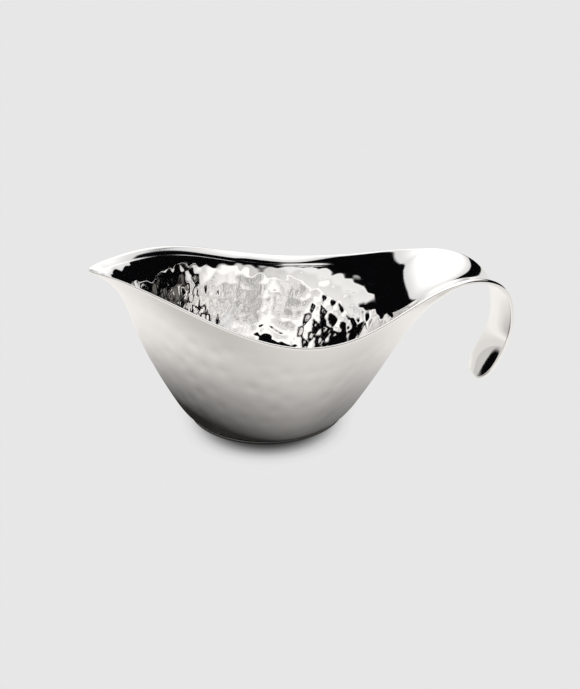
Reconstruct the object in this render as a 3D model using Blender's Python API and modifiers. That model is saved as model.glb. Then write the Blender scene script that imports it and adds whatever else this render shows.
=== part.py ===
"""Gravy boat of hammered, polished steel sheet with a drawn lip and a curled strap handle.

Four separate pieces: the pressed bowl, the strap handle, the polished weld bead that joins them,
and the round base disc the boat stands on. Metres, Z up, lip towards -X, handle towards +X,
origin at the centre of the underside of the base disc. Lengths in the constants are millimetres.
"""

import math

import bmesh
import bpy
from mathutils import Vector

MM = 0.001

GAP = 0.3
SHEET = 1.6
STRAP_THICKNESS = 2.4
THICKENING_FROM_X = 40.0
RIM_ROUNDING = 0.5

DISC_RADIUS = 44.5
DISC_HEIGHT = 1.5
DISC_ROUNDING = 0.4
DISC_SEGMENTS = 96

FOOT_RADIUS = 47.5
FLOOR_RADIUS = 38.0
FOOT_Z = DISC_HEIGHT + GAP

NECK_X = 100.0
BEAD_WIDTH = 2.0

# Half of the bowl's rim, from the corner where the handle starts round to the pouring lip.
RIM = [
    (100.1, 31.4, 80.2),
    (86.8, 37.2, 78.9),
    (70.3, 46.3, 74.8),
    (50.3, 59.6, 69.6),
    (27.3, 71.3, 66.3),
    (3.1, 74.3, 67.6),
    (-22.1, 67.1, 74.3),
    (-45.7, 53.1, 82.6),
    (-65.8, 34.3, 87.0),
    (-80.8, 17.2, 87.7),
    (-89.9, 8.0, 87.1),
    (-94.3, 0.0, 86.2),
]

# Handle, row by row from the neck: x and z of its edge, half width, depth of the hollow across it.
STRAP = [
    (100.1, 80.2, 31.4, 11.0),
    (112.0, 79.2, 26.8, 6.5),
    (122.4, 75.4, 23.1, 4.0),
    (130.6, 68.3, 19.2, 3.0),
    (135.2, 57.5, 16.5, 2.4),
    (136.5, 46.0, 15.2, 1.9),
    (134.7, 36.0, 14.7, 1.6),
    (130.4, 26.0, 15.4, 1.4),
    (126.0, 17.8, 14.5, 1.2),
    (122.6, 12.0, 8.5, 0.5),
]

# Wall between foot and rim: share of the way out and share of the way up for each ring.
WALL_SIDE = [(0.38, 0.14), (0.66, 0.46), (0.86, 0.80)]
WALL_LIP = [(0.17, 0.16), (0.515, 0.523), (0.638, 0.895)]
WALL_BACK = [(0.195, 0.17), (0.408, 0.482), (0.64, 0.81)]
BLEND_POWER = 1.5
NECK_ROUNDING = 7.0

NECK_COLUMNS = 2
SUBDIVISION = 2
SHARP_ANGLE = 50.0
CUT_TOLERANCE = 0.0001


def clear_scene():
    for item in list(bpy.data.objects):
        bpy.data.objects.remove(item, do_unlink=True)


def material(name, colour, roughness):
    made = bpy.data.materials.new(name)
    made.use_nodes = True
    shader = made.node_tree.nodes["Principled BSDF"]
    shader.inputs["Base Color"].default_value = (*colour, 1.0)
    shader.inputs["Roughness"].default_value = roughness
    shader.inputs["Metallic"].default_value = 1.0
    return made


def back_share(angle):
    """How far the wall at an angle round the foot follows the handle-side profile."""
    return max(0.0, math.cos(angle)) ** BLEND_POWER


def wall_share(angle):
    """Ring shares at an angle round the foot: a blend of the side, lip and handle profiles."""
    lip = max(0.0, -math.cos(angle)) ** BLEND_POWER
    back = back_share(angle)
    side = 1.0 - lip - back
    shares = []
    for on_side, on_lip, on_back in zip(WALL_SIDE, WALL_LIP, WALL_BACK):
        out = side * on_side[0] + lip * on_lip[0] + back * on_back[0]
        up = side * on_side[1] + lip * on_lip[1] + back * on_back[1]
        shares.append((out, up))
    return shares


def strap_row(index):
    """One row across the handle: points from the centre line to the edge, y positive."""
    x, z, half_width, hollow = STRAP[index]
    before = STRAP[max(index - 1, 0)]
    after = STRAP[min(index + 1, len(STRAP) - 1)]
    along = Vector((after[0] - before[0], 0.0, after[1] - before[1])).normalized()
    under = Vector((along.z, 0.0, -along.x)) if index else Vector((0.0, 0.0, -1.0))
    row = []
    for step in range(NECK_COLUMNS + 1):
        share = step / NECK_COLUMNS
        depth = hollow * (1.0 - share * share)
        row.append(Vector((x, half_width * share, z)) + under * depth)
    return row


def rim_column(column):
    """Top point of a column of the bowl: on the neck for the first few, then on the rim."""
    if column < NECK_COLUMNS:
        return strap_row(0)[column]
    return Vector(RIM[column - NECK_COLUMNS])


def bowl_column(column, half_count):
    """Points of one column of the bowl from the floor up to the rim."""
    angle = math.pi * column / half_count
    ray = Vector((math.cos(angle), math.sin(angle), 0.0))
    floor = ray * FLOOR_RADIUS + Vector((0.0, 0.0, FOOT_Z))
    foot = ray * FOOT_RADIUS + Vector((0.0, 0.0, FOOT_Z))
    top = rim_column(column)
    points = [floor, foot]
    across = top.y / RIM[0][1]
    for out, up in wall_share(angle):
        flat = foot.lerp(top, out)
        drawn_in = NECK_ROUNDING * (1.0 - up) * back_share(angle) * across * across
        points.append(Vector((flat.x - drawn_in, flat.y, foot.z + (top.z - foot.z) * up)))
    points.append(top)
    return points


def control_sheet():
    """Coarse control mesh of the one smooth sheet that bowl and handle share."""
    half_count = len(RIM) - 1 + NECK_COLUMNS
    count = 2 * half_count
    sheet = bmesh.new()
    columns = []
    for index in range(count):
        mirrored = index > half_count
        points = bowl_column(count - index if mirrored else index, half_count)
        side = -1.0 if mirrored else 1.0
        columns.append([sheet.verts.new((p.x, side * p.y, p.z)) for p in points])
    for index, column in enumerate(columns):
        following = columns[(index + 1) % count]
        for level in range(len(column) - 1):
            sheet.faces.new((column[level], following[level], following[level + 1], column[level + 1]))
    sheet.faces.new([column[0] for column in reversed(columns)])
    offsets = range(-NECK_COLUMNS, NECK_COLUMNS + 1)
    row = [columns[offset % count][-1] for offset in offsets]
    for index in range(1, len(STRAP)):
        points = strap_row(index)
        following = []
        for offset in offsets:
            p = points[abs(offset)]
            side = -1.0 if offset < 0 else 1.0
            following.append(sheet.verts.new((p.x, side * p.y, p.z)))
        for step in range(len(row) - 1):
            sheet.faces.new((row[step], row[step + 1], following[step + 1], following[step]))
        row = following
    return sheet


def thickness_share(x):
    """Share of the handle's thickness that the sheet has at x."""
    run = (x - THICKENING_FROM_X) / (NECK_X - THICKENING_FROM_X)
    run = min(max(run, 0.0), 1.0)
    eased = run * run * (3.0 - 2.0 * run)
    return (SHEET + (STRAP_THICKNESS - SHEET) * eased) / STRAP_THICKNESS


def thick_sheet():
    """Bowl and handle as one thick sheet in millimetres, ready to be cut into its pieces."""
    control = control_sheet()
    data = bpy.data.meshes.new("sheet_control")
    control.to_mesh(data)
    control.free()
    holder = bpy.data.objects.new("sheet_control", data)
    bpy.context.scene.collection.objects.link(holder)
    group = holder.vertex_groups.new(name="thickness")
    for vertex in data.vertices:
        group.add([vertex.index], thickness_share(vertex.co.x), "REPLACE")
    smooth = holder.modifiers.new("smooth", "SUBSURF")
    smooth.levels = SUBDIVISION
    smooth.render_levels = SUBDIVISION
    shell = holder.modifiers.new("shell", "SOLIDIFY")
    shell.thickness = STRAP_THICKNESS
    shell.offset = -1.0
    shell.use_even_offset = True
    shell.vertex_group = "thickness"
    rounding = holder.modifiers.new("rim_rounding", "BEVEL")
    rounding.width = RIM_ROUNDING
    rounding.segments = 1
    rounding.limit_method = "ANGLE"
    rounding.angle_limit = math.radians(SHARP_ANGLE)
    bpy.context.view_layer.update()
    depsgraph = bpy.context.evaluated_depsgraph_get()
    solid = bpy.data.meshes.new_from_object(holder.evaluated_get(depsgraph))
    bpy.data.objects.remove(holder, do_unlink=True)
    return solid


def cut_away(solid, position, direction):
    """Removes what lies past a plane across X, on the side the direction points to, and caps the cut."""
    bmesh.ops.bisect_plane(
        solid,
        geom=solid.verts[:] + solid.edges[:] + solid.faces[:],
        dist=CUT_TOLERANCE,
        plane_co=(position, 0.0, 0.0),
        plane_no=(direction, 0.0, 0.0),
        clear_outer=True,
    )
    open_edges = [edge for edge in solid.edges if edge.is_boundary]
    bmesh.ops.holes_fill(solid, edges=open_edges)


def sheet_piece(name, whole, low, high, metal, collection):
    """A named solid piece: the slice of the thick sheet between two planes across X."""
    solid = bmesh.new()
    solid.from_mesh(whole)
    if low is not None:
        cut_away(solid, low, -1.0)
    if high is not None:
        cut_away(solid, high, 1.0)
    for face in solid.faces:
        face.smooth = True
    bmesh.ops.recalc_face_normals(solid, faces=solid.faces)
    bmesh.ops.scale(solid, vec=(MM, MM, MM), verts=solid.verts)
    data = bpy.data.meshes.new(name)
    solid.to_mesh(data)
    solid.free()
    data.set_sharp_from_angle(angle=math.radians(SHARP_ANGLE))
    data.materials.append(metal)
    piece = bpy.data.objects.new(name, data)
    collection.objects.link(piece)


def base_disc(metal, collection):
    """Flat round disc under the bowl; its underside is the resting face."""
    solid = bmesh.new()
    bmesh.ops.create_cone(
        solid,
        cap_ends=True,
        segments=DISC_SEGMENTS,
        radius1=DISC_RADIUS * MM,
        radius2=DISC_RADIUS * MM,
        depth=DISC_HEIGHT * MM,
    )
    bmesh.ops.translate(solid, vec=(0.0, 0.0, DISC_HEIGHT * MM / 2.0), verts=solid.verts)
    data = bpy.data.meshes.new("base_disc")
    solid.to_mesh(data)
    solid.free()
    piece = bpy.data.objects.new("base_disc", data)
    collection.objects.link(piece)
    data.materials.append(metal)
    rounding = piece.modifiers.new("rounding", "BEVEL")
    rounding.width = DISC_ROUNDING * MM
    rounding.segments = 2
    rounding.limit_method = "ANGLE"
    rounding.angle_limit = math.radians(SHARP_ANGLE)


def build():
    clear_scene()
    collection = bpy.data.collections.new("gravy_boat")
    bpy.context.scene.collection.children.link(collection)
    mirror_steel = material("mirror_steel", (0.78, 0.77, 0.75), 0.08)
    satin_steel = material("satin_steel", (0.70, 0.69, 0.67), 0.22)
    weld_steel = material("weld_steel", (0.74, 0.73, 0.71), 0.12)
    whole = thick_sheet()
    bead_start = NECK_X + GAP
    bead_end = bead_start + BEAD_WIDTH
    sheet_piece("bowl", whole, None, NECK_X, mirror_steel, collection)
    sheet_piece("handle_weld", whole, bead_start, bead_end, weld_steel, collection)
    sheet_piece("handle", whole, bead_end + GAP, None, mirror_steel, collection)
    bpy.data.meshes.remove(whole)
    base_disc(satin_steel, collection)


build()
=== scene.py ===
"""Studio scene of a hammered, polished steel gravy boat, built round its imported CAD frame.

The sheet of the bowl and its strap handle is one smooth control surface, as in the CAD part. It is
sampled finely, given its thickness, its rolled rim and its hammer marks, and split into the named
pieces. Lengths in the constants are millimetres unless they say otherwise.
"""

import itertools
import math
import random

import bmesh
import bpy
import numpy as np
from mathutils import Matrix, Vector
from mathutils.kdtree import KDTree


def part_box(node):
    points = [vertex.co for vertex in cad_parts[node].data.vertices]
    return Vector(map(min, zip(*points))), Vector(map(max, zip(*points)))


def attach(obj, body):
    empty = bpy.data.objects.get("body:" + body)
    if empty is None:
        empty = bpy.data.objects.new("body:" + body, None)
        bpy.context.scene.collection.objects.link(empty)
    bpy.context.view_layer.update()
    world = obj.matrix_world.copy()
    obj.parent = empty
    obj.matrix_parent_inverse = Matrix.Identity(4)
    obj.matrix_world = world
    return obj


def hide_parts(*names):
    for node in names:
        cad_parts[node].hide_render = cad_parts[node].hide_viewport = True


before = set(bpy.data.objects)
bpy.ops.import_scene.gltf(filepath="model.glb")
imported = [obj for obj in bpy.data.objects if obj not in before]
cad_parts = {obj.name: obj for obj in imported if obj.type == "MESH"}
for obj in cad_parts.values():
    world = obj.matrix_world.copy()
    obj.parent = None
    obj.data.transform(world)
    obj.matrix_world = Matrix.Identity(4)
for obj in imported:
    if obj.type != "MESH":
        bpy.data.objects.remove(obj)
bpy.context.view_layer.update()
BASE_LOW, BASE_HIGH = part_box("base_disc")
BOWL_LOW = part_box("bowl")[0]

MM = 0.001
SEED = 2310

# Frame of the part: the disc and the foot of the bowl.
DISC_RADIUS = (BASE_HIGH[0] - BASE_LOW[0]) / 2.0 / MM
DISC_HEIGHT = (BASE_HIGH[2] - BASE_LOW[2]) / MM
FOOT_Z = BOWL_LOW[2] / MM
FOOT_RADIUS = 47.5
FLOOR_RADIUS = 38.0

SHEET = 1.6
STRAP_THICKNESS = 2.4
THICKENING_FROM_X = 40.0
NECK_X = 100.0
NECK_COLUMNS = 2
SUBDIVISION = 4
STEPS = 2**SUBDIVISION

# Half of the bowl's rim, from the corner where the handle starts round to the pouring lip.
RIM = [
    (100.1, 31.4, 80.2),
    (86.8, 37.2, 78.9),
    (70.3, 46.3, 74.8),
    (50.3, 59.6, 69.6),
    (27.3, 71.3, 66.3),
    (3.1, 74.3, 67.6),
    (-22.1, 67.1, 74.3),
    (-45.7, 53.1, 82.6),
    (-65.8, 34.3, 87.0),
    (-80.8, 17.2, 87.7),
    (-89.9, 8.0, 87.1),
    (-94.3, 0.0, 86.2),
]
HALF_COUNT = len(RIM) - 1 + NECK_COLUMNS

# Handle, row by row from the neck: x and z of its edge, half width, depth of the hollow across it.
STRAP = [
    (100.1, 80.2, 31.4, 11.0),
    (112.0, 79.2, 26.8, 6.5),
    (122.4, 75.4, 23.1, 4.0),
    (130.6, 68.3, 19.2, 3.0),
    (135.2, 57.5, 16.5, 2.4),
    (136.5, 46.0, 15.2, 1.9),
    (134.7, 36.0, 14.7, 1.6),
    (130.4, 26.0, 15.4, 1.4),
    (126.0, 17.8, 14.5, 1.2),
    (122.6, 12.0, 8.5, 0.5),
]

# Wall between foot and rim: share of the way out and share of the way up for each ring.
WALL_SIDE = [(0.38, 0.14), (0.66, 0.46), (0.86, 0.80)]
WALL_LIP = [(0.17, 0.16), (0.515, 0.523), (0.638, 0.895)]
WALL_BACK = [(0.195, 0.17), (0.408, 0.482), (0.64, 0.81)]
BLEND_POWER = 1.5
NECK_ROUNDING = 7.0

# Levels of the control mesh above its lowest ring. The handle's rows are numbered from a level
# that is higher than any of the bowl's.
BOWL_LEVELS = len(WALL_SIDE) + 2
STRAP_LEVEL = 20

# Distances from an edge at which its rounding is sampled, then the rows of the smooth border.
EDGE_ROWS = [0.03, 0.13, 0.29, 0.5, 0.75, 1.0]
BORDER_ROWS = [1.3, 1.7, 2.1, 2.6, 3.1, 3.7, 4.3, 4.9, 5.5, 6.0, 6.4, 6.8, 7.2, 7.6, 8.0]
WALL_ROWS = 108
NECK_POINTS = 57
FLOOR_RINGS = 18

# The outer side of the bowl has full detail in its first rows, then one row in every few.
OUTER_FINE_ROWS = len(EDGE_ROWS) + 2
OUTER_ROW_STEP = 3

# Grid rows at the free end of the handle that the rows of its rounded edge take over.
END_ROWS = 3
END_REACH = 2.9

# Columns taken from each side of the neck, so that lines across it are smooth at its corners.
NECK_MARGIN = 2

# The weld is the first few rows of the handle.
WELD_ROWS = 3

# Rounded edge: how far the crest lies below the outer side, how far in the rounding reaches, and
# the parts that each step along the edge is cut into when distances from it are measured.
CREST = 0.7
EDGE_ROUNDING = 1.0
EDGE_PARTS = 8

# Border inside the rim: its upward tilt in degrees at distances along it. Below it the wall comes
# back to its plain thickness over a longer stretch. The wall's own lean is read at one depth.
FLARE_RUN = [0.0, 0.4, 1.0, 1.7, 2.5, 4.0, 5.6]
FLARE_TILT = [88.0, 72.0, 56.0, 45.0, 37.0, 33.0, 29.0]
FLARE_STEP = 0.05
RELAX_LENGTH = 40.0
LEAN_DEPTH = 4.0

# Control columns, counted from the middle of the neck, where the border starts and is complete.
FLARE_FROM_COLUMN = 2.3
FLARE_FADE_COLUMNS = 2.4

# Crease between the smooth border and the hammered inside: its depth at each control column, and
# the small step down into the hammered side.
CREASE = [31.0, 33.0, 34.0, 25.0, 13.5, 8.0, 6.6, 6.4, 6.4, 6.4, 6.4, 6.2, 6.0, 5.6]
LEDGE = 0.22
LEDGE_WIDTH = 0.7

# Depth given to the floor and the handle, which have no distance down the wall.
OFF_WALL_DEPTH = 100.0

# Hammer marks on the inside.
MARK_SPACING = 5.9
MARK_RADIUS = 56.0
MARK_RADIUS_SPREAD = (0.75, 1.5)
MARK_DEPTH_SPREAD = 0.03
MARK_RIDGE = 0.022
MARK_FADE = 3.2
MARK_CANDIDATES = 9000

# Faint dents on the outside, none next to the edge.
DIMPLE_SPACING = 8.0
DIMPLE_HEIGHT = 0.22
DIMPLE_HEIGHT_SPREAD = (0.3, 1.0)
DIMPLE_WIDTH = 3.2
DIMPLE_FREE_BORDER = 6.0
DIMPLE_FADE = 14.0
DIMPLE_CANDIDATES = 5000

# Marks that shape each point, and how many points are looked up at a time.
NEIGHBOURS = 5
BLOCK = 2000

# Base disc: rounded edges, the ring it stands on, and the recess inside that ring. Edges that turn
# by more than the sharp angle, in degrees, are shaded sharp.
DISC_ROUNDING = 0.45
DISC_ROUNDING_STEPS = 6
DISC_STANDING_WIDTH = 5.0
DISC_RECESS_SLOPE = 0.6
DISC_RECESS_DEPTH = 0.35
DISC_SEGMENTS = 192
DISC_SHARP_ANGLE = 40.0

# Steels: colour, roughness and how far it varies, then the scale and strength of the grain. Their
# colour and roughness vary in soft clouds. Scales are per metre, and the grain's depth is in metres.
MIRROR_STEEL = ((0.93, 0.92, 0.905), 0.035, 0.012, 900.0, 0.02)
SATIN_STEEL = ((0.90, 0.885, 0.865), 0.15, 0.03, 700.0, 0.05)
DISC_STEEL = ((0.30, 0.295, 0.29), 0.40, 0.05, 700.0, 0.05)
CLOUD_SCALE = 28.0
CLOUD_RANGE = (0.3, 0.7)
CLOUD_DARKENING = 0.955
GRAIN_DEPTH = 0.0002


def back_share(angle):
    """How far the wall at an angle round the foot follows the handle-side profile."""
    return max(0.0, math.cos(angle)) ** BLEND_POWER


def wall_share(angle):
    """Ring shares at an angle round the foot: a blend of the side, lip and handle profiles."""
    lip = max(0.0, -math.cos(angle)) ** BLEND_POWER
    back = back_share(angle)
    side = 1.0 - lip - back
    shares = []
    for on_side, on_lip, on_back in zip(WALL_SIDE, WALL_LIP, WALL_BACK):
        out = side * on_side[0] + lip * on_lip[0] + back * on_back[0]
        up = side * on_side[1] + lip * on_lip[1] + back * on_back[1]
        shares.append((out, up))
    return shares


def strap_row(index):
    """One row across the handle: points from the centre line to the edge, y positive."""
    x, z, half_width, hollow = STRAP[index]
    before = STRAP[max(index - 1, 0)]
    after = STRAP[min(index + 1, len(STRAP) - 1)]
    along = Vector((after[0] - before[0], 0.0, after[1] - before[1])).normalized()
    under = Vector((along.z, 0.0, -along.x)) if index else Vector((0.0, 0.0, -1.0))
    row = []
    for step in range(NECK_COLUMNS + 1):
        share = step / NECK_COLUMNS
        depth = hollow * (1.0 - share * share)
        row.append(Vector((x, half_width * share, z)) + under * depth)
    return row


def bowl_column(column):
    """Points of one column of the bowl from the floor up to the rim."""
    angle = math.pi * column / HALF_COUNT
    ray = Vector((math.cos(angle), math.sin(angle), 0.0))
    floor = ray * FLOOR_RADIUS + Vector((0.0, 0.0, FOOT_Z))
    foot = ray * FOOT_RADIUS + Vector((0.0, 0.0, FOOT_Z))
    top = strap_row(0)[column] if column < NECK_COLUMNS else Vector(RIM[column - NECK_COLUMNS])
    points = [floor, foot]
    across = top.y / RIM[0][1]
    for out, up in wall_share(angle):
        flat = foot.lerp(top, out)
        drawn_in = NECK_ROUNDING * (1.0 - up) * back_share(angle) * across * across
        points.append(Vector((flat.x - drawn_in, flat.y, foot.z + (top.z - foot.z) * up)))
    points.append(top)
    return points


def control_sheet():
    """Coarse control mesh of the sheet. Its UV layer holds each corner's column and level."""
    count = 2 * HALF_COUNT
    sheet = bmesh.new()
    grid = sheet.loops.layers.uv.new("grid")

    def face(corners, places):
        made = sheet.faces.new(corners)
        for loop, place in zip(made.loops, places):
            loop[grid].uv = place

    columns = []
    for index in range(count):
        mirrored = index > HALF_COUNT
        points = bowl_column(count - index if mirrored else index)
        side = -1.0 if mirrored else 1.0
        columns.append([sheet.verts.new((p.x, side * p.y, p.z)) for p in points])
    for c, column in enumerate(columns):
        following = columns[(c + 1) % count]
        for n in range(len(column) - 1):
            corners = (column[n], following[n], following[n + 1], column[n + 1])
            face(corners, ((c, n), (c + 1, n), (c + 1, n + 1), (c, n + 1)))
    bottom = [column[0] for column in reversed(columns)]
    face(bottom, [(-1.0, -1.0)] * count)
    offsets = range(-NECK_COLUMNS, NECK_COLUMNS + 1)
    row = [columns[offset % count][-1] for offset in offsets]
    for index in range(1, len(STRAP)):
        points = strap_row(index)
        following = []
        for offset in offsets:
            p = points[abs(offset)]
            side = -1.0 if offset < 0 else 1.0
            following.append(sheet.verts.new((p.x, side * p.y, p.z)))
        for n in range(len(row) - 1):
            corners = (row[n], row[n + 1], following[n + 1], following[n])
            low, high = STRAP_LEVEL + index - 1, STRAP_LEVEL + index
            face(corners, ((n, low), (n + 1, low), (n + 1, high), (n, high)))
        row = following
    return sheet


def subdivided_control():
    """Points of the smooth sheet, and for each corner of its faces the point and grid place."""
    control = control_sheet()
    data = bpy.data.meshes.new("sheet_control")
    control.to_mesh(data)
    control.free()
    holder = bpy.data.objects.new("sheet_control", data)
    bpy.context.scene.collection.objects.link(holder)
    smooth = holder.modifiers.new("smooth", "SUBSURF")
    smooth.levels = SUBDIVISION
    smooth.render_levels = SUBDIVISION
    smooth.uv_smooth = "NONE"
    bpy.context.view_layer.update()
    depsgraph = bpy.context.evaluated_depsgraph_get()
    fine = bpy.data.meshes.new_from_object(holder.evaluated_get(depsgraph))
    bpy.data.objects.remove(holder, do_unlink=True)
    points = np.empty(len(fine.vertices) * 3)
    fine.vertices.foreach_get("co", points)
    corner = np.empty(len(fine.loops), dtype=np.int32)
    fine.loops.foreach_get("vertex_index", corner)
    place = np.empty(len(fine.loops) * 2)
    fine.uv_layers["grid"].uv.foreach_get("vector", place)
    bpy.data.meshes.remove(fine)
    return points.reshape(-1, 3), corner, np.rint(place.reshape(-1, 2) * STEPS).astype(int)


def smooth_grids():
    """The smooth sheet as two regular grids of points: bowl by column and level, handle by row."""
    points, corner, place = subdivided_control()
    column, level = place[:, 0], place[:, 1]
    bowl = np.zeros((2 * HALF_COUNT * STEPS, BOWL_LEVELS * STEPS + 1, 3))
    on_bowl = (level >= 0) & (level <= BOWL_LEVELS * STEPS)
    bowl[column[on_bowl] % len(bowl), level[on_bowl]] = points[corner[on_bowl]]
    strap = np.zeros((2 * NECK_COLUMNS * STEPS + 1, (len(STRAP) - 1) * STEPS + 1, 3))
    on_strap = level >= STRAP_LEVEL * STEPS
    strap[column[on_strap], level[on_strap] - STRAP_LEVEL * STEPS] = points[corner[on_strap]]
    return with_normals(bowl, strap)


def with_normals(bowl, strap):
    """Both grids with three more numbers for each point: the smooth normal of the sheet there."""
    half = NECK_COLUMNS * STEPS
    bowl_id = np.arange(bowl.shape[0] * bowl.shape[1]).reshape(bowl.shape[:2])
    strap_id = np.arange(strap.shape[0] * strap.shape[1]).reshape(strap.shape[:2]) + bowl_id.size
    strap_id[:, 0] = bowl_id[np.arange(-half, half + 1), -1]
    around = np.roll(bowl_id, -1, axis=0)
    faces = quads(bowl_id[:, :-1], around[:, :-1], around[:, 1:], bowl_id[:, 1:])
    faces += quads(strap_id[:-1, :-1], strap_id[1:, :-1], strap_id[1:, 1:], strap_id[:-1, 1:])
    faces += fan(bowl_id.size + strap_id.size, bowl_id[:, 0])
    points = np.concatenate([bowl.reshape(-1, 3), strap.reshape(-1, 3), [[0.0, 0.0, FOOT_Z]]])
    normals = normals_of(points, faces)
    return (
        np.concatenate([bowl, normals[bowl_id]], axis=2),
        np.concatenate([strap, normals[strap_id]], axis=2),
    )


def quads(a, b, c, d):
    """Faces from four equal blocks of point indices."""
    return np.stack([a.ravel(), b.ravel(), c.ravel(), d.ravel()], 1).tolist()


def fan(centre, ring):
    """Outward triangles of the underside, from its centre to a closed ring."""
    return [[centre, b, a] for a, b in zip(ring.tolist(), np.roll(ring, -1).tolist())]


def normals_of(points, faces):
    """Smooth normals of the points of a mesh."""
    data = bpy.data.meshes.new("normals")
    data.from_pydata(points.tolist(), [], faces)
    normals = np.empty(len(points) * 3)
    data.vertex_normals.foreach_get("vector", normals)
    bpy.data.meshes.remove(data)
    return normals.reshape(-1, 3)


def curve_at(line, where, before=None):
    """Points of smooth lines at fractional positions. line is (n, ..., k), where is (m, ...)."""
    low = np.clip(np.floor(where).astype(int), 0, len(line) - 2)
    t = where - low
    first = 2.0 * line[0] - line[1] if before is None else before
    last = 2.0 * line[-1] - line[-2]
    padded = np.concatenate([first[None], line, last[None]])
    if line.ndim == 2:
        a, b, c, d = (padded[low + k] for k in range(4))
    else:
        rest = np.arange(line.shape[1])[None, :]
        a, b, c, d = (padded[low + k, rest] for k in range(4))
    t = t[..., None]
    return 0.5 * (
        2.0 * b
        + (c - a) * t
        + (2.0 * a - 5.0 * b + 4.0 * c - d) * t**2
        + (3.0 * b - a - 3.0 * c + d) * t**3
    )


def run_length(line):
    """Distance run along lines of points, from their first point. line is (n, ..., 3)."""
    steps = np.linalg.norm(np.diff(line[..., :3], axis=0), axis=-1)
    return np.concatenate([np.zeros((1,) + steps.shape[1:]), np.cumsum(steps, axis=0)])


def across_positions(length):
    """Distances across a row of the handle: close together at both edges, even between them."""
    edge = [0.0] + EDGE_ROWS
    inner = np.linspace(EDGE_ROWS[-1], length - EDGE_ROWS[-1], NECK_POINTS + 2)[1:-1]
    return np.concatenate([edge, inner, length - np.array(edge[::-1])])


def handle_rows(strap):
    """Sampled rows of the handle, the grid rows they lie on, and the places along the first."""
    half = NECK_COLUMNS * STEPS
    end = strap.shape[1] - 1
    end_step = np.linalg.norm((strap[half, end] - strap[half, end - 1])[:3])
    rows = list(range(end + 1 - END_ROWS))
    rows += [end - d / end_step for d in reversed(EDGE_ROWS) if d / end_step < END_REACH]
    rows.append(float(end))
    where = np.repeat(np.array(rows)[:, None], 2 * half + 1, 1)
    grid_rows = curve_at(strap.transpose(1, 0, 2), where)
    places = []
    for row in grid_rows:
        run = run_length(row)
        places.append(np.interp(across_positions(run[-1]), run, np.arange(len(run))))
    handle = np.array([curve_at(row, place) for row, place in zip(grid_rows, places)])
    return handle, grid_rows, places[0]


def bowl_columns(bowl, neck_row, neck_places):
    """Columns of the bowl, those below the handle first, and the control column of each."""
    half = NECK_COLUMNS * STEPS
    neck = np.concatenate([bowl[-half - NECK_MARGIN :], bowl[: half + 1 + NECK_MARGIN]])
    below_neck = curve_at(neck, np.repeat(neck_places[:, None] + NECK_MARGIN, bowl.shape[1], 1))
    below_neck[:, -1] = neck_row
    elsewhere = np.arange(half + 1, len(bowl) - half)
    column_at = np.concatenate([neck_places - half, elsewhere]) / STEPS
    return np.concatenate([below_neck, bowl[elsewhere]]), column_at


def wall_rows(columns, neck_row, beyond_neck):
    """Rows of points round the bowl from the rim down, and how far down its column each point is.

    Columns below the handle run on smoothly into it, towards the points beyond the neck.
    """
    down = columns[:, ::-1].transpose(1, 0, 2)
    neck = slice(len(neck_row))
    before = 2.0 * down[0] - down[1]
    step = np.linalg.norm((down[1] - down[0])[neck, :3], axis=1)
    onward = beyond_neck - neck_row
    reach = step / np.linalg.norm(onward[:, :3], axis=1)
    before[neck] = neck_row + onward * reach[:, None]
    run = run_length(down)
    total = run[-1]
    top_rows = np.array([0.0] + EDGE_ROWS + BORDER_ROWS)
    share = np.linspace(0.0, 1.0, WALL_ROWS + 1)[1:]
    top = np.repeat(top_rows[:, None], len(total), 1)
    rest = top_rows[-1] + (total[None, :] - top_rows[-1]) * share[:, None]
    depth = np.concatenate([top, rest])
    where = np.empty_like(depth)
    for c in range(len(total)):
        where[:, c] = np.interp(depth[:, c], run[:, c], np.arange(len(run)))
    return curve_at(down, where, before), depth


class Sheet:
    """Sampled middle layer of the sheet: points, grids of their indices, and edge points."""

    def __init__(self):
        bowl, strap = smooth_grids()
        handle, grid_rows, neck_places = handle_rows(strap)
        columns, self.column_at = bowl_columns(bowl, handle[0], neck_places)
        beyond_neck = curve_at(grid_rows[1], neck_places)
        wall, self.depth = wall_rows(columns, handle[0], beyond_neck)
        self.row_count = len(wall)
        self.points = np.empty((0, 6))
        self.wall_id = self.add(wall)
        neck_id = self.wall_id[:1, : len(neck_places)]
        self.strap_id = np.concatenate([neck_id, self.add(handle[1:])])
        ring = self.wall_id[-1, ::2]
        centre = np.array([0.0, 0.0, FOOT_Z, 0.0, 0.0, -1.0])
        self.floor_id = [ring]
        for step in range(1, FLOOR_RINGS):
            inward = centre + (self.points[ring] - centre) * (1.0 - step / FLOOR_RINGS)
            self.floor_id.append(self.add(inward))
        self.centre_id = self.add(centre[None])[0]
        self.normals = self.points[:, 3:] / np.linalg.norm(self.points[:, 3:], axis=1)[:, None]
        self.points = self.points[:, :3]
        rim = self.wall_id[0, len(neck_places) :]
        free_end = self.strap_id[-1, 1:-1]
        self.edge_line = np.concatenate([rim, self.strap_id[:, 0], free_end, self.strap_id[::-1, -1]])

    def add(self, block):
        """Adds a block of points with their normals. Returns their indices in the same shape."""
        first = len(self.points)
        self.points = np.concatenate([self.points, block.reshape(-1, 6)])
        return np.arange(first, len(self.points)).reshape(block.shape[:-1])


def strap_quads(ids, first, last):
    """Faces of the handle between two of its rows, facing outwards."""
    block = ids[first : last + 1]
    return quads(block[:-1, :-1], block[:-1, 1:], block[1:, 1:], block[1:, :-1])


def ring_quads(upper, lower):
    """Outward faces between two closed rows of the bowl, the upper one first."""
    return quads(lower, np.roll(lower, -1), np.roll(upper, -1), upper)


def halving_faces(upper, lower):
    """Outward faces from a closed row to a lower one with every second point."""
    corners = [lower, np.roll(lower, -1), np.roll(upper[::2], -1), upper[1::2], upper[::2]]
    return np.stack(corners, 1).tolist()


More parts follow.
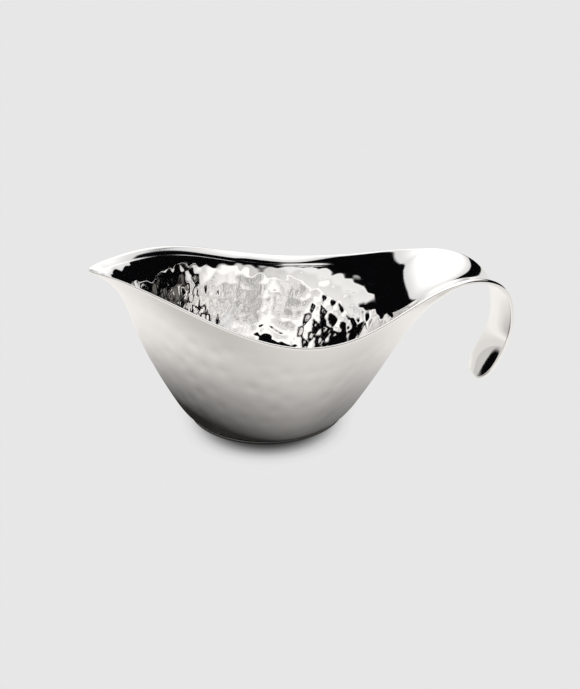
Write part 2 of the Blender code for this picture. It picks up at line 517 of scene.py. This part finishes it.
def fine_wall(sheet, ids):
    """Every face of one side of the wall."""
    faces = []
    for row in range(sheet.row_count - 1):
        faces += ring_quads(ids[sheet.wall_id[row]], ids[sheet.wall_id[row + 1]])
    return faces


def fine_floor(sheet, ids):
    """Every face of one side of the floor."""
    rings = [ids[part] for part in sheet.floor_id[1:]]
    faces = halving_faces(ids[sheet.wall_id[-1]], rings[0])
    for upper, lower in zip(rings[:-1], rings[1:]):
        faces += ring_quads(upper, lower)
    return faces + fan(ids[sheet.centre_id], rings[-1])


def coarse_bowl(sheet, ids):
    """The bowl's outer side: full detail at the rounded edge, wider faces below it."""
    faces = []
    for row in range(OUTER_FINE_ROWS):
        faces += ring_quads(ids[sheet.wall_id[row]], ids[sheet.wall_id[row + 1]])
    last = sheet.row_count - 1
    rows = [*range(OUTER_FINE_ROWS + OUTER_ROW_STEP, last, OUTER_ROW_STEP), last]
    rings = [ids[sheet.wall_id[row, ::2]] for row in rows]
    faces += halving_faces(ids[sheet.wall_id[OUTER_FINE_ROWS]], rings[0])
    for upper, lower in zip(rings[:-1], rings[1:]):
        faces += ring_quads(upper, lower)
    return faces + fan(ids[sheet.centre_id], rings[-1])


def eased(value):
    """Smooth rise from 0 to 1 as the value goes from 0 to 1."""
    value = np.clip(value, 0.0, 1.0)
    return value * value * (3.0 - 2.0 * value)


def flare_profile(lean):
    """Depth below the rim and inward run of the border's section, for a wall that leans back."""
    along = np.arange(0.0, FLARE_RUN[-1] + FLARE_STEP, FLARE_STEP)
    tilt = np.interp(along, FLARE_RUN, FLARE_TILT)
    bend = np.radians(np.maximum(tilt - lean, 0.0))
    down = np.concatenate([[0.0], np.cumsum(np.cos(bend) * FLARE_STEP)])
    inward = np.concatenate([[0.0], np.cumsum(np.sin(bend) * FLARE_STEP)])
    return down, inward


def spaced_points(candidates, spacing, order):
    """A subset of the candidates, taken in a random order, that keeps a distance apart."""
    chosen = np.empty((0, 3))
    for index in order:
        point = candidates[index]
        if len(chosen) == 0 or np.min(np.sum((chosen - point) ** 2, axis=1)) > spacing**2:
            chosen = np.concatenate([chosen, point[None]])
    return chosen


def nearest(seeds, points):
    """Distances and indices of the seeds nearest to each point."""
    distance = np.empty((len(points), NEIGHBOURS))
    which = np.empty((len(points), NEIGHBOURS), dtype=int)
    for start in range(0, len(points), BLOCK):
        part = slice(start, start + BLOCK)
        squares = np.sum(points[part] ** 2, axis=1)[:, None] + np.sum(seeds**2, axis=1)[None, :]
        squares -= 2.0 * points[part] @ seeds.T
        which[part] = np.argpartition(squares, NEIGHBOURS, axis=1)[:, :NEIGHBOURS]
        squares = np.take_along_axis(squares, which[part], axis=1)
        distance[part] = np.sqrt(np.maximum(squares, 0.0))
    return distance, which


def hammer_marks(points, draws):
    """Height of the hammered side over the plain one: round dishes that meet in low ridges."""
    order = list(range(len(points)))
    draws.shuffle(order)
    seeds = spaced_points(points, MARK_SPACING, order[:MARK_CANDIDATES])
    depth = np.array([draws.uniform(-1.0, 1.0) * MARK_DEPTH_SPREAD for _ in seeds])
    radius = np.array([MARK_RADIUS * draws.uniform(*MARK_RADIUS_SPREAD) for _ in seeds])
    distance, which = nearest(seeds, points)
    dishes = distance**2 / (2.0 * radius[which]) - depth[which]
    lowest = dishes.min(axis=1)
    blend = np.exp(-(dishes - lowest[:, None]) / MARK_RIDGE).sum(axis=1)
    return lowest - MARK_RIDGE * np.log(blend)


def dimples(points, draws):
    """Faint dents seen on the outer side of the wall."""
    order = list(range(len(points)))
    draws.shuffle(order)
    seeds = spaced_points(points, DIMPLE_SPACING, order[:DIMPLE_CANDIDATES])
    size = np.array([draws.uniform(*DIMPLE_HEIGHT_SPREAD) for _ in seeds])
    distance, which = nearest(seeds, points)
    bumps = size[which] * np.exp(-((distance / DIMPLE_WIDTH) ** 2))
    return DIMPLE_HEIGHT * bumps.sum(axis=1)


def edge_distances(sheet):
    """Distance of each point of the sheet from its free edge."""
    line = sheet.points[sheet.edge_line]
    tree = KDTree(len(line) * EDGE_PARTS)
    for index, (a, b) in enumerate(zip(line, np.roll(line, -1, axis=0))):
        for part in range(EDGE_PARTS):
            tree.insert(a + (b - a) * (part / EDGE_PARTS), index * EDGE_PARTS + part)
    tree.balance()
    near = np.array([tree.find(point)[2] for point in sheet.points])
    near[sheet.edge_line] = 0.0
    return near


def add_flare(sheet, inner_in, full, away):
    """Moves the inner side inwards along the rim, so that the border turns up to the light."""
    weight = eased((away - FLARE_FROM_COLUMN) / FLARE_FADE_COLUMNS)
    lean_row = np.argmin(np.abs(sheet.depth[:, 0] - LEAN_DEPTH))
    lean = np.degrees(np.arcsin(-sheet.normals[sheet.wall_id[lean_row]][:, 2]))
    for c in np.flatnonzero(weight > 0.0):
        down, inward = flare_profile(lean[c])
        ids = sheet.wall_id[:, c]
        runs = sheet.depth[:, c]
        flared = CREST + np.interp(runs, down, inward)
        flared += (full[ids] - flared) * eased((runs - down[-1]) / RELAX_LENGTH)
        inner_in[ids] += weight[c] * (flared - inner_in[ids])


def shaped_sides(sheet):
    """Points of the outer and inner side of the sheet."""
    draws = random.Random(SEED)
    count = len(sheet.points)
    wall = sheet.wall_id.ravel()
    near = edge_distances(sheet)

    thickening = eased((sheet.points[:, 0] - THICKENING_FROM_X) / (NECK_X - THICKENING_FROM_X))
    full = SHEET + (STRAP_THICKNESS - SHEET) * thickening
    dip = 1.0 - np.clip(near / EDGE_ROUNDING, 0.0, 1.0)
    rounded = np.sqrt(1.0 - dip**2)
    outer_in = CREST * (1.0 - rounded)
    inner_in = CREST + (full - CREST) * rounded
    away = np.minimum(np.abs(sheet.column_at), 2.0 * HALF_COUNT - np.abs(sheet.column_at))
    add_flare(sheet, inner_in, full, away)

    past_crease = np.full(count, OFF_WALL_DEPTH)
    crease = np.interp(away, np.arange(len(CREASE)), CREASE)
    past_crease[wall] = (sheet.depth - crease).ravel()
    ledge = LEDGE * eased((past_crease + 0.5 * LEDGE_WIDTH) / LEDGE_WIDTH)
    ledge[sheet.strap_id.ravel()] = 0.0
    hammered = eased(past_crease / MARK_FADE)
    hammered[sheet.strap_id.ravel()] = 0.0

    inner = sheet.points - sheet.normals * inner_in[:, None]
    area = np.flatnonzero(hammered > 0.0)
    marks = np.zeros(count)
    marks[area] = hammer_marks(inner[area], draws) * hammered[area]
    inner = inner - sheet.normals * (marks + ledge)[:, None]
    dents = np.zeros(count)
    fade = eased((near[wall] - DIMPLE_FREE_BORDER) / DIMPLE_FADE)
    dents[wall] = dimples(sheet.points[wall], draws) * fade
    outer = sheet.points - sheet.normals * (outer_in + dents)[:, None]
    return outer, inner


def add_piece(name, data, replaces):
    """Puts a mesh in the scene as a named piece of the part."""
    piece = bpy.data.objects.new(name, data)
    bpy.context.scene.collection.objects.link(piece)
    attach(piece, "root")
    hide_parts(replaces)


def set_normals(data, normals, flat):
    """Gives each corner the normal of its point, or on flat faces the normal of the face."""
    face_normals = np.empty(len(data.polygons) * 3)
    data.polygons.foreach_get("normal", face_normals)
    face_normals = face_normals.reshape(-1, 3)
    sizes = np.empty(len(data.polygons), dtype=np.int32)
    data.polygons.foreach_get("loop_total", sizes)
    owner = np.repeat(np.arange(len(data.polygons)), sizes)
    corner = np.empty(len(data.loops), dtype=np.int32)
    data.loops.foreach_get("vertex_index", corner)
    side = np.empty(len(data.loops), dtype=np.int32)
    data.loops.foreach_get("edge_index", side)
    wanted = normals[corner]
    is_flat = flat[owner]
    wanted[is_flat] = face_normals[owner[is_flat]]
    # The normals of smooth and flat corners at one point stay apart only along sharp edges.
    sharp = np.zeros(len(data.edges), dtype=bool)
    sharp[side[is_flat]] = True
    data.attributes.new("sharp_edge", "BOOLEAN", "EDGE").data.foreach_set("value", sharp)
    data.normals_split_custom_set(wanted.tolist())


def mesh_piece(name, points, normals, groups, replaces):
    """A named piece from faces in groups: (faces, material, flat)."""
    data = bpy.data.meshes.new(name)
    faces = [face for group in groups for face in group[0]]
    used = np.unique(np.fromiter(itertools.chain.from_iterable(faces), dtype=np.int64))
    renumber = np.full(len(points), -1)
    renumber[used] = np.arange(len(used))
    table = renumber.tolist()
    data.from_pydata((points[used] * MM).tolist(), [], [[table[v] for v in face] for face in faces])
    materials = []
    indices = []
    for group_faces, metal, _ in groups:
        if metal not in materials:
            materials.append(metal)
            data.materials.append(metal)
        indices += [materials.index(metal)] * len(group_faces)
    data.polygons.foreach_set("material_index", indices)
    data.polygons.foreach_set("use_smooth", [True] * len(faces))
    flat = [is_flat for group_faces, _, is_flat in groups for _ in group_faces]
    set_normals(data, normals[used], np.array(flat))
    data.update()
    add_piece(name, data, replaces)


def node_link(tree, kind, inputs=None, **settings):
    """A new node with its settings, and with each input set to a value or linked to a socket."""
    node = tree.nodes.new(kind)
    for key, value in settings.items():
        setattr(node, key, value)
    for key, value in (inputs or {}).items():
        if isinstance(value, bpy.types.NodeSocket):
            tree.links.new(value, node.inputs[key])
        else:
            node.inputs[key].default_value = value
    return node


def maths(tree, operation, *values):
    """Result of a calculation; each value is a number or a socket."""
    inputs = dict(enumerate(values))
    return node_link(tree, "ShaderNodeMath", inputs, operation=operation).outputs[0]


def soft_step(tree, value, low, high):
    """Smooth rise from 0 to 1 as the value goes from low to high."""
    limits = {"Value": value, "From Min": low, "From Max": high}
    step = node_link(tree, "ShaderNodeMapRange", limits, interpolation_type="SMOOTHSTEP")
    return step.outputs["Result"]


def mixed(tree, share, first, second, blend="MIX"):
    """Mix of two colours, each a colour or a socket."""
    # The colour sockets of this node share the names of its number sockets, so they go by place.
    inputs = {0: share, 6: first, 7: second}
    return node_link(tree, "ShaderNodeMix", inputs, data_type="RGBA", blend_type=blend).outputs[2]


def steel(name, colour, rough, spread, grain_scale, grain_bump):
    """Polished steel: colour and gloss that vary a little over the surface, with a fine grain."""
    metal = bpy.data.materials.new(name)
    metal.use_nodes = True
    tree = metal.node_tree
    shader = tree.nodes["Principled BSDF"]
    shader.inputs["Metallic"].default_value = 1.0
    place = node_link(tree, "ShaderNodeTexCoord").outputs["Object"]
    look = {"Vector": place, "Scale": CLOUD_SCALE, "Detail": 3.0, "Roughness": 0.55}
    cloud = node_link(tree, "ShaderNodeTexNoise", look).outputs["Fac"]
    darker = tuple(CLOUD_DARKENING * part for part in colour)
    tint = mixed(tree, cloud, (*darker, 1.0), (*colour, 1.0))
    tree.links.new(tint, shader.inputs["Base Color"])
    low, high = CLOUD_RANGE
    limits = {"From Min": low, "From Max": high, "To Min": rough - spread, "To Max": rough + spread}
    wear = node_link(tree, "ShaderNodeMapRange", {"Value": cloud, **limits})
    tree.links.new(wear.outputs["Result"], shader.inputs["Roughness"])
    look = {"Vector": place, "Scale": grain_scale, "Detail": 2.0}
    grain = node_link(tree, "ShaderNodeTexNoise", look).outputs["Fac"]
    relief = {"Height": grain, "Strength": grain_bump, "Distance": GRAIN_DEPTH}
    bump = node_link(tree, "ShaderNodeBump", relief)
    tree.links.new(bump.outputs["Normal"], shader.inputs["Normal"])
    return metal


def disc_section():
    """Half section of the base disc, (radius, z), from the middle of its top round to below."""
    section = [(0.0, DISC_HEIGHT)]
    for start, centre_z in ((1.0, DISC_HEIGHT - DISC_ROUNDING), (0.0, DISC_ROUNDING)):
        for step in range(DISC_ROUNDING_STEPS + 1):
            angle = math.pi / 2.0 * (start - step / DISC_ROUNDING_STEPS)
            radius = DISC_RADIUS - DISC_ROUNDING + DISC_ROUNDING * math.cos(angle)
            section.append((radius, centre_z + DISC_ROUNDING * math.sin(angle)))
    standing = DISC_RADIUS - DISC_STANDING_WIDTH
    section.append((standing, 0.0))
    section.append((standing - DISC_RECESS_SLOPE, DISC_RECESS_DEPTH))
    section.append((0.0, DISC_RECESS_DEPTH))
    return section


def base_disc(metal):
    """The base disc: a turned plate with rounded edges and a shallow recess underneath."""
    solid = bmesh.new()
    rings = []
    for radius, z in disc_section():
        if radius == 0.0:
            rings.append([solid.verts.new((0.0, 0.0, z * MM))])
            continue
        ring = []
        for step in range(DISC_SEGMENTS):
            angle = 2.0 * math.pi * step / DISC_SEGMENTS
            x, y = radius * math.cos(angle) * MM, radius * math.sin(angle) * MM
            ring.append(solid.verts.new((x, y, z * MM)))
        rings.append(ring)
    for upper, lower in zip(rings[:-1], rings[1:]):
        for step in range(DISC_SEGMENTS):
            following = (step + 1) % DISC_SEGMENTS
            if len(upper) == 1:
                solid.faces.new((upper[0], lower[step], lower[following]))
            elif len(lower) == 1:
                solid.faces.new((upper[step], lower[0], upper[following]))
            else:
                solid.faces.new((upper[step], lower[step], lower[following], upper[following]))
    bmesh.ops.recalc_face_normals(solid, faces=solid.faces)
    for face in solid.faces:
        face.smooth = True
    data = bpy.data.meshes.new("base_disc_visual")
    solid.to_mesh(data)
    solid.free()
    data.set_sharp_from_angle(angle=math.radians(DISC_SHARP_ANGLE))
    data.materials.append(metal)
    add_piece("base_disc_visual", data, replaces="base_disc")


def turned(faces):
    """Faces that look the other way."""
    return [face[::-1] for face in faces]


def build_object():
    """Bowl, weld and handle from the shaped sheet, and the base disc."""
    sheet = Sheet()
    outer, inner = shaped_sides(sheet)
    points = np.concatenate([outer, inner])
    outer_id = np.arange(len(outer))
    inner_id = outer_id + len(outer)
    inner_id[sheet.edge_line] = sheet.edge_line
    last_row = len(sheet.strap_id) - 1

    def handle_sides(first, last):
        out = strap_quads(outer_id[sheet.strap_id], first, last)
        return out, turned(strap_quads(inner_id[sheet.strap_id], first, last))

    def cap(row, forward):
        out = outer_id[sheet.strap_id[row]].tolist()
        into = inner_id[sheet.strap_id[row]].tolist()
        faces = []
        for n in range(len(out) - 1):
            corners = [out[n], into[n], into[n + 1], out[n + 1]]
            faces.append([v for k, v in enumerate(corners) if v not in corners[:k]])
        return faces if forward else turned(faces)

    bowl_out = coarse_bowl(sheet, outer_id)
    bowl_in = turned(fine_wall(sheet, inner_id) + fine_floor(sheet, inner_id))
    every_out, every_in = handle_sides(0, last_row)
    # The coarse outer side leaves out most of its points, so their normals come from the fine one.
    fine_out = fine_wall(sheet, outer_id) + fine_floor(sheet, outer_id)
    normals = normals_of(points, fine_out + bowl_in + every_out + every_in)

    mirror = steel("mirror_steel", *MIRROR_STEEL)
    satin = steel("satin_steel", *SATIN_STEEL)
    weld = steel("weld_steel", *MIRROR_STEEL)
    mesh_piece(
        "bowl_visual",
        points,
        normals,
        [(bowl_in, mirror, False), (bowl_out, satin, False), (cap(0, True), mirror, True)],
        replaces="bowl",
    )
    weld_out, weld_in = handle_sides(0, WELD_ROWS)
    mesh_piece(
        "handle_weld_visual",
        points,
        normals,
        [(weld_in + weld_out, weld, False), (cap(0, False) + cap(WELD_ROWS, True), weld, True)],
        replaces="handle_weld",
    )
    free_out, free_in = handle_sides(WELD_ROWS, last_row)
    mesh_piece(
        "handle_visual",
        points,
        normals,
        [(free_in + free_out, mirror, False), (cap(WELD_ROWS, False), mirror, True)],
        replaces="handle",
    )
    base_disc(steel("disc_steel", *DISC_STEEL))


# Studio, by direction: headings are in degrees, 0 towards -Y and 90 towards +X, and heights in
# degrees above the horizon. This is the lower edge of the bright ceiling.
CEILING_EDGE = [
    (-180, 10), (-158, 18), (-138, 32), (-122, 41), (-111, 47), (-95, 53), (-80, 50), (-60, 45),
    (-40, 42), (-20, 42), (0, 44), (20, 44), (50, 40), (70, 30), (90, 28), (101, 29), (107, 32),
    (117, 36), (128, 31), (142, 21), (157, 19), (172, 13), (180, 10),
]

# Upper edge of the pale band along the horizon.
HORIZON_EDGE = [
    (-180, 12), (-163, 9), (-142, 9), (-138, 3), (-133, 2), (-129, 8), (-118, 15), (-104, 18),
    (-88, 21), (-72, 25), (-55, 26), (-40, 27), (-22, 26), (-5, 16), (15, 12), (40, 10), (60, 5),
    (82, 0), (112, 0), (145, 0), (165, 2), (180, 12),
]

# Upper edge of the fill that is seen only after two reflections, inside the bowl.
FILL_EDGE = [
    (-180, 90), (-26, 90), (-16, 38), (-5, 26), (12, 24), (30, 26), (55, 30), (75, 60), (95, 90),
    (180, 90),
]

# How far that fill is dimmed; 90 is all the way.
FILL_DIMMING = [(-180, 0), (-18, 0), (-6, 90), (52, 90), (66, 0), (180, 0)]

# Widths of the soft edges and of the rise in brightness above them, as shares of a right angle.
CEILING_SOFTNESS = 0.012
CEILING_RISE = 0.22
BAND_SOFTNESS = 0.02
BAND_RISE = 0.30
FILL_SOFTNESS = 0.03

# Colours of the studio, each from its lower or darker end to its brighter one.
CEILING_COLOURS = ((0.80, 0.80, 0.81, 1.0), (1.25, 1.245, 1.235, 1.0))
BAND_COLOURS = ((0.60, 0.595, 0.58, 1.0), (0.97, 0.965, 0.955, 1.0))
FILL_COLOURS = ((0.50, 0.496, 0.487, 1.0), (1.02, 1.015, 1.005, 1.0))
DIM_FILL_COLOURS = ((0.03, 0.029, 0.027, 1.0), (0.26, 0.25, 0.235, 1.0))
BLACK = (0.002, 0.002, 0.0025, 1.0)
MOTTLE_SCALE = 5.5
MOTTLE_RANGE = (0.36, 0.62)

# Ray depth at the studio is 1 for what is seen directly and one more for each reflection.
ONE_REFLECTION = (1.2, 1.8)
TWO_REFLECTIONS = (2.2, 2.8)

# Greys of the floor by distance in metres: the soft shadow painted in front of the foot, the thin
# painted shadow right round it, and the painted shade, darker towards the foot, that the polished
# wall mirrors.
FLOOR_GREY = 0.799
SHADE_CENTRE = (-0.0018, -0.017, 0.0)
SHADE_STOPS = [
    (0.0, 0.008),
    (0.0255, 0.012),
    (0.0300, 0.109),
    (0.0343, 0.319),
    (0.0387, 0.597),
    (0.0430, 0.750),
    (0.0480, FLOOR_GREY),
]
# Thin painted shadow right round the foot.
CONTACT_SHADOW_CENTRE = (0.0, 0.003, 0.0)
CONTACT_SHADOW_STOPS = [(0.0, 0.02), (0.0415, 0.05), (0.0445, 0.75), (0.0475, 0.94), (0.053, 1.0)]
SHADE_REACH = 0.1
# Painted shade seen only in reflections: a glowing card, darkest at the foot and brightening
# outwards.
MIRRORED_SHADE_CENTRE = (-0.012, -0.003, 0.0)
MIRRORED_SHADE_STOPS = [
    (0.0, 0.01),
    (0.044, 0.02),
    (0.05, 0.09),
    (0.056, 0.16),
    (0.064, 0.245),
    (0.078, 0.38),
    (0.095, 0.56),
    (0.12, 0.8),
    (0.15, 0.95),
    (0.19, 0.96),
    (0.26, 0.84),
    (0.39, 0.78),
]
MIRRORED_SHADE_REACH = 0.4
NEUTRAL = (1.0, 1.0, 1.0)
WARM = (1.0, 0.98, 0.955)

# Half size and heights of the floor and of the card with painted shade that only reflections see, in
# metres.
FLOOR_SIZE = 120.0
FLOOR_Z = -0.0002
MIRRORED_SHADE_Z = -0.0001

# Camera, in metres; the lens and the sensor's width are millimetres.
CAMERA_PLACE = (-0.0438, -0.4080, 0.2210)
CAMERA_TARGET = (0.0135, 0.0, 0.0375)
CAMERA_LENS = 49.655
CAMERA_SENSOR = 36.0
CAMERA_CLIP = (0.01, 500.0)


def by_heading(tree, turn, table):
    """Height above the horizon, as a share of a right angle, read from a table of headings."""
    edge = node_link(tree, "ShaderNodeFloatCurve", {"Value": turn})
    curve = edge.mapping.curves[0]
    for degrees, height in table[1:-1]:
        curve.points.new(degrees / 360.0 + 0.5, height / 90.0)
    curve.points[0].location = (0.0, table[0][1] / 90.0)
    curve.points[-1].location = (1.0, table[-1][1] / 90.0)
    edge.mapping.update()
    return edge.outputs[0]


def soft_edge(tree, difference, softness):
    """Soft step of a given half width, centred where the difference is nothing."""
    return soft_step(tree, difference, -softness, softness)


def studio_world():
    """What lies round the object, as a function of direction.

    The steel mirrors a bright ceiling, a pale band along the horizon, and black between them. After
    two reflections a mottled fill takes the place of the black and of the band. What is seen without
    any reflection is a plain backdrop, as pale as the floor.
    """
    world = bpy.data.worlds.new("studio")
    bpy.context.scene.world = world
    world.use_nodes = True
    tree = world.node_tree
    direction = node_link(tree, "ShaderNodeTexCoord").outputs["Generated"]
    x, y, z = node_link(tree, "ShaderNodeSeparateXYZ", {0: direction}).outputs
    heading = maths(tree, "ARCTAN2", x, maths(tree, "MULTIPLY", y, -1.0))
    turn = maths(tree, "MULTIPLY_ADD", heading, 1.0 / (2.0 * math.pi), 0.5)
    height = maths(tree, "MULTIPLY", maths(tree, "ARCSINE", z), 2.0 / math.pi)
    depth = node_link(tree, "ShaderNodeLightPath").outputs["Ray Depth"]

    over_ceiling = maths(tree, "SUBTRACT", height, by_heading(tree, turn, CEILING_EDGE))
    bright = mixed(tree, soft_step(tree, over_ceiling, 0.0, CEILING_RISE), *CEILING_COLOURS)
    under_band = maths(tree, "SUBTRACT", by_heading(tree, turn, HORIZON_EDGE), height)
    band = mixed(tree, soft_step(tree, height, -BAND_SOFTNESS, BAND_RISE), *BAND_COLOURS)
    below = mixed(tree, soft_edge(tree, under_band, BAND_SOFTNESS), BLACK, band)

    look = {"Vector": direction, "Scale": MOTTLE_SCALE, "Detail": 0.0}
    mottle = node_link(tree, "ShaderNodeTexNoise", look).outputs["Fac"]
    uneven = soft_step(tree, mottle, *MOTTLE_RANGE)
    pale_fill = mixed(tree, uneven, *FILL_COLOURS)
    dim_fill = mixed(tree, uneven, *DIM_FILL_COLOURS)
    fill = mixed(tree, by_heading(tree, turn, FILL_DIMMING), pale_fill, dim_fill)
    under_fill = maths(tree, "SUBTRACT", by_heading(tree, turn, FILL_EDGE), height)
    twice = soft_step(tree, depth, *TWO_REFLECTIONS)
    filled = maths(tree, "MULTIPLY", soft_edge(tree, under_fill, FILL_SOFTNESS), twice)
    below = mixed(tree, filled, below, fill)

    mirrored = mixed(tree, soft_edge(tree, over_ceiling, CEILING_SOFTNESS), below, bright)
    plain = (FLOOR_GREY, FLOOR_GREY, FLOOR_GREY, 1.0)
    seen = mixed(tree, soft_step(tree, depth, *ONE_REFLECTION), plain, mirrored)
    tree.links.new(seen, tree.nodes["Background"].inputs["Color"])


def glowing(name, build_colour):
    """A material that only glows, with its colour built by a function."""
    made = bpy.data.materials.new(name)
    made.use_nodes = True
    tree = made.node_tree
    tree.nodes.remove(tree.nodes["Principled BSDF"])
    output = tree.nodes["Material Output"]
    glow = node_link(tree, "ShaderNodeEmission", {"Color": build_colour(tree), "Strength": 1.0})
    tree.links.new(glow.outputs[0], output.inputs["Surface"])
    return made


def ramp_by_distance(tree, centre, stops, reach, tint=NEUTRAL):
    """Colour by distance from a point on the floor, used for painted shade; stops are (metres, grey).
    """
    place = node_link(tree, "ShaderNodeTexCoord").outputs["Object"]
    gap = node_link(tree, "ShaderNodeVectorMath", {0: place, 1: centre}, operation="DISTANCE")
    share = maths(tree, "MULTIPLY", gap.outputs["Value"], 1.0 / reach)
    ramp = node_link(tree, "ShaderNodeValToRGB", {"Fac": share})
    elements = ramp.color_ramp.elements
    while len(elements) > 1:
        elements.remove(elements[-1])
    for number, (distance, grey) in enumerate(stops):
        element = elements[0] if number == 0 else elements.new(distance / reach)
        element.position = distance / reach
        element.color = (*(grey * part for part in tint), 1.0)
    return ramp.outputs["Color"]


def floor_with_painted_shadow(tree):
    """Pale glowing floor with the shadow under the boat painted into its colour."""
    in_front = ramp_by_distance(tree, SHADE_CENTRE, SHADE_STOPS, SHADE_REACH)
    around = ramp_by_distance(tree, CONTACT_SHADOW_CENTRE, CONTACT_SHADOW_STOPS, SHADE_REACH)
    return mixed(tree, 1.0, in_front, around, "MULTIPLY")


def mirrored_floor_with_painted_shade(tree):
    """Floor as the polished wall mirrors it, with painted shade darker towards the foot."""
    return ramp_by_distance(tree, MIRRORED_SHADE_CENTRE, MIRRORED_SHADE_STOPS, MIRRORED_SHADE_REACH, WARM)


def floor_plane(name, height, metal):
    """A wide flat card of the stage."""
    data = bpy.data.meshes.new(name)
    outline = ((-1, -1), (1, -1), (1, 1), (-1, 1))
    corners = [(x * FLOOR_SIZE, y * FLOOR_SIZE, height) for x, y in outline]
    data.from_pydata(corners, [], [(0, 1, 2, 3)])
    data.materials.append(metal)
    plane = bpy.data.objects.new(name, data)
    bpy.context.scene.collection.objects.link(plane)
    return plane


def studio():
    """World, floor with painted shadow, and the glowing card with painted shade that only reflections
    see.
    """
    studio_world()
    floor_plane("floor", FLOOR_Z, glowing("floor_painted_shadow", floor_with_painted_shadow))
    # The card glows with painted shade and is seen only in reflections of the steel.
    shade_card = floor_plane("painted_shade_card", MIRRORED_SHADE_Z, glowing("painted_shade_card", mirrored_floor_with_painted_shade))
    shade_card.visible_camera = False
    shade_card.visible_shadow = False
    shade_card.visible_diffuse = False


def camera():
    """The scene's camera."""
    lens = bpy.data.cameras.new("camera")
    lens.sensor_fit = "HORIZONTAL"
    lens.sensor_width = CAMERA_SENSOR
    lens.lens = CAMERA_LENS
    lens.clip_start, lens.clip_end = CAMERA_CLIP
    holder = bpy.data.objects.new("camera", lens)
    bpy.context.scene.collection.objects.link(holder)
    holder.location = CAMERA_PLACE
    aim = Vector(CAMERA_TARGET) - Vector(CAMERA_PLACE)
    holder.rotation_euler = aim.to_track_quat("-Z", "Y").to_euler()
    bpy.context.scene.camera = holder


bpy.context.scene.view_settings.view_transform = "Standard"
build_object()
studio()
camera()
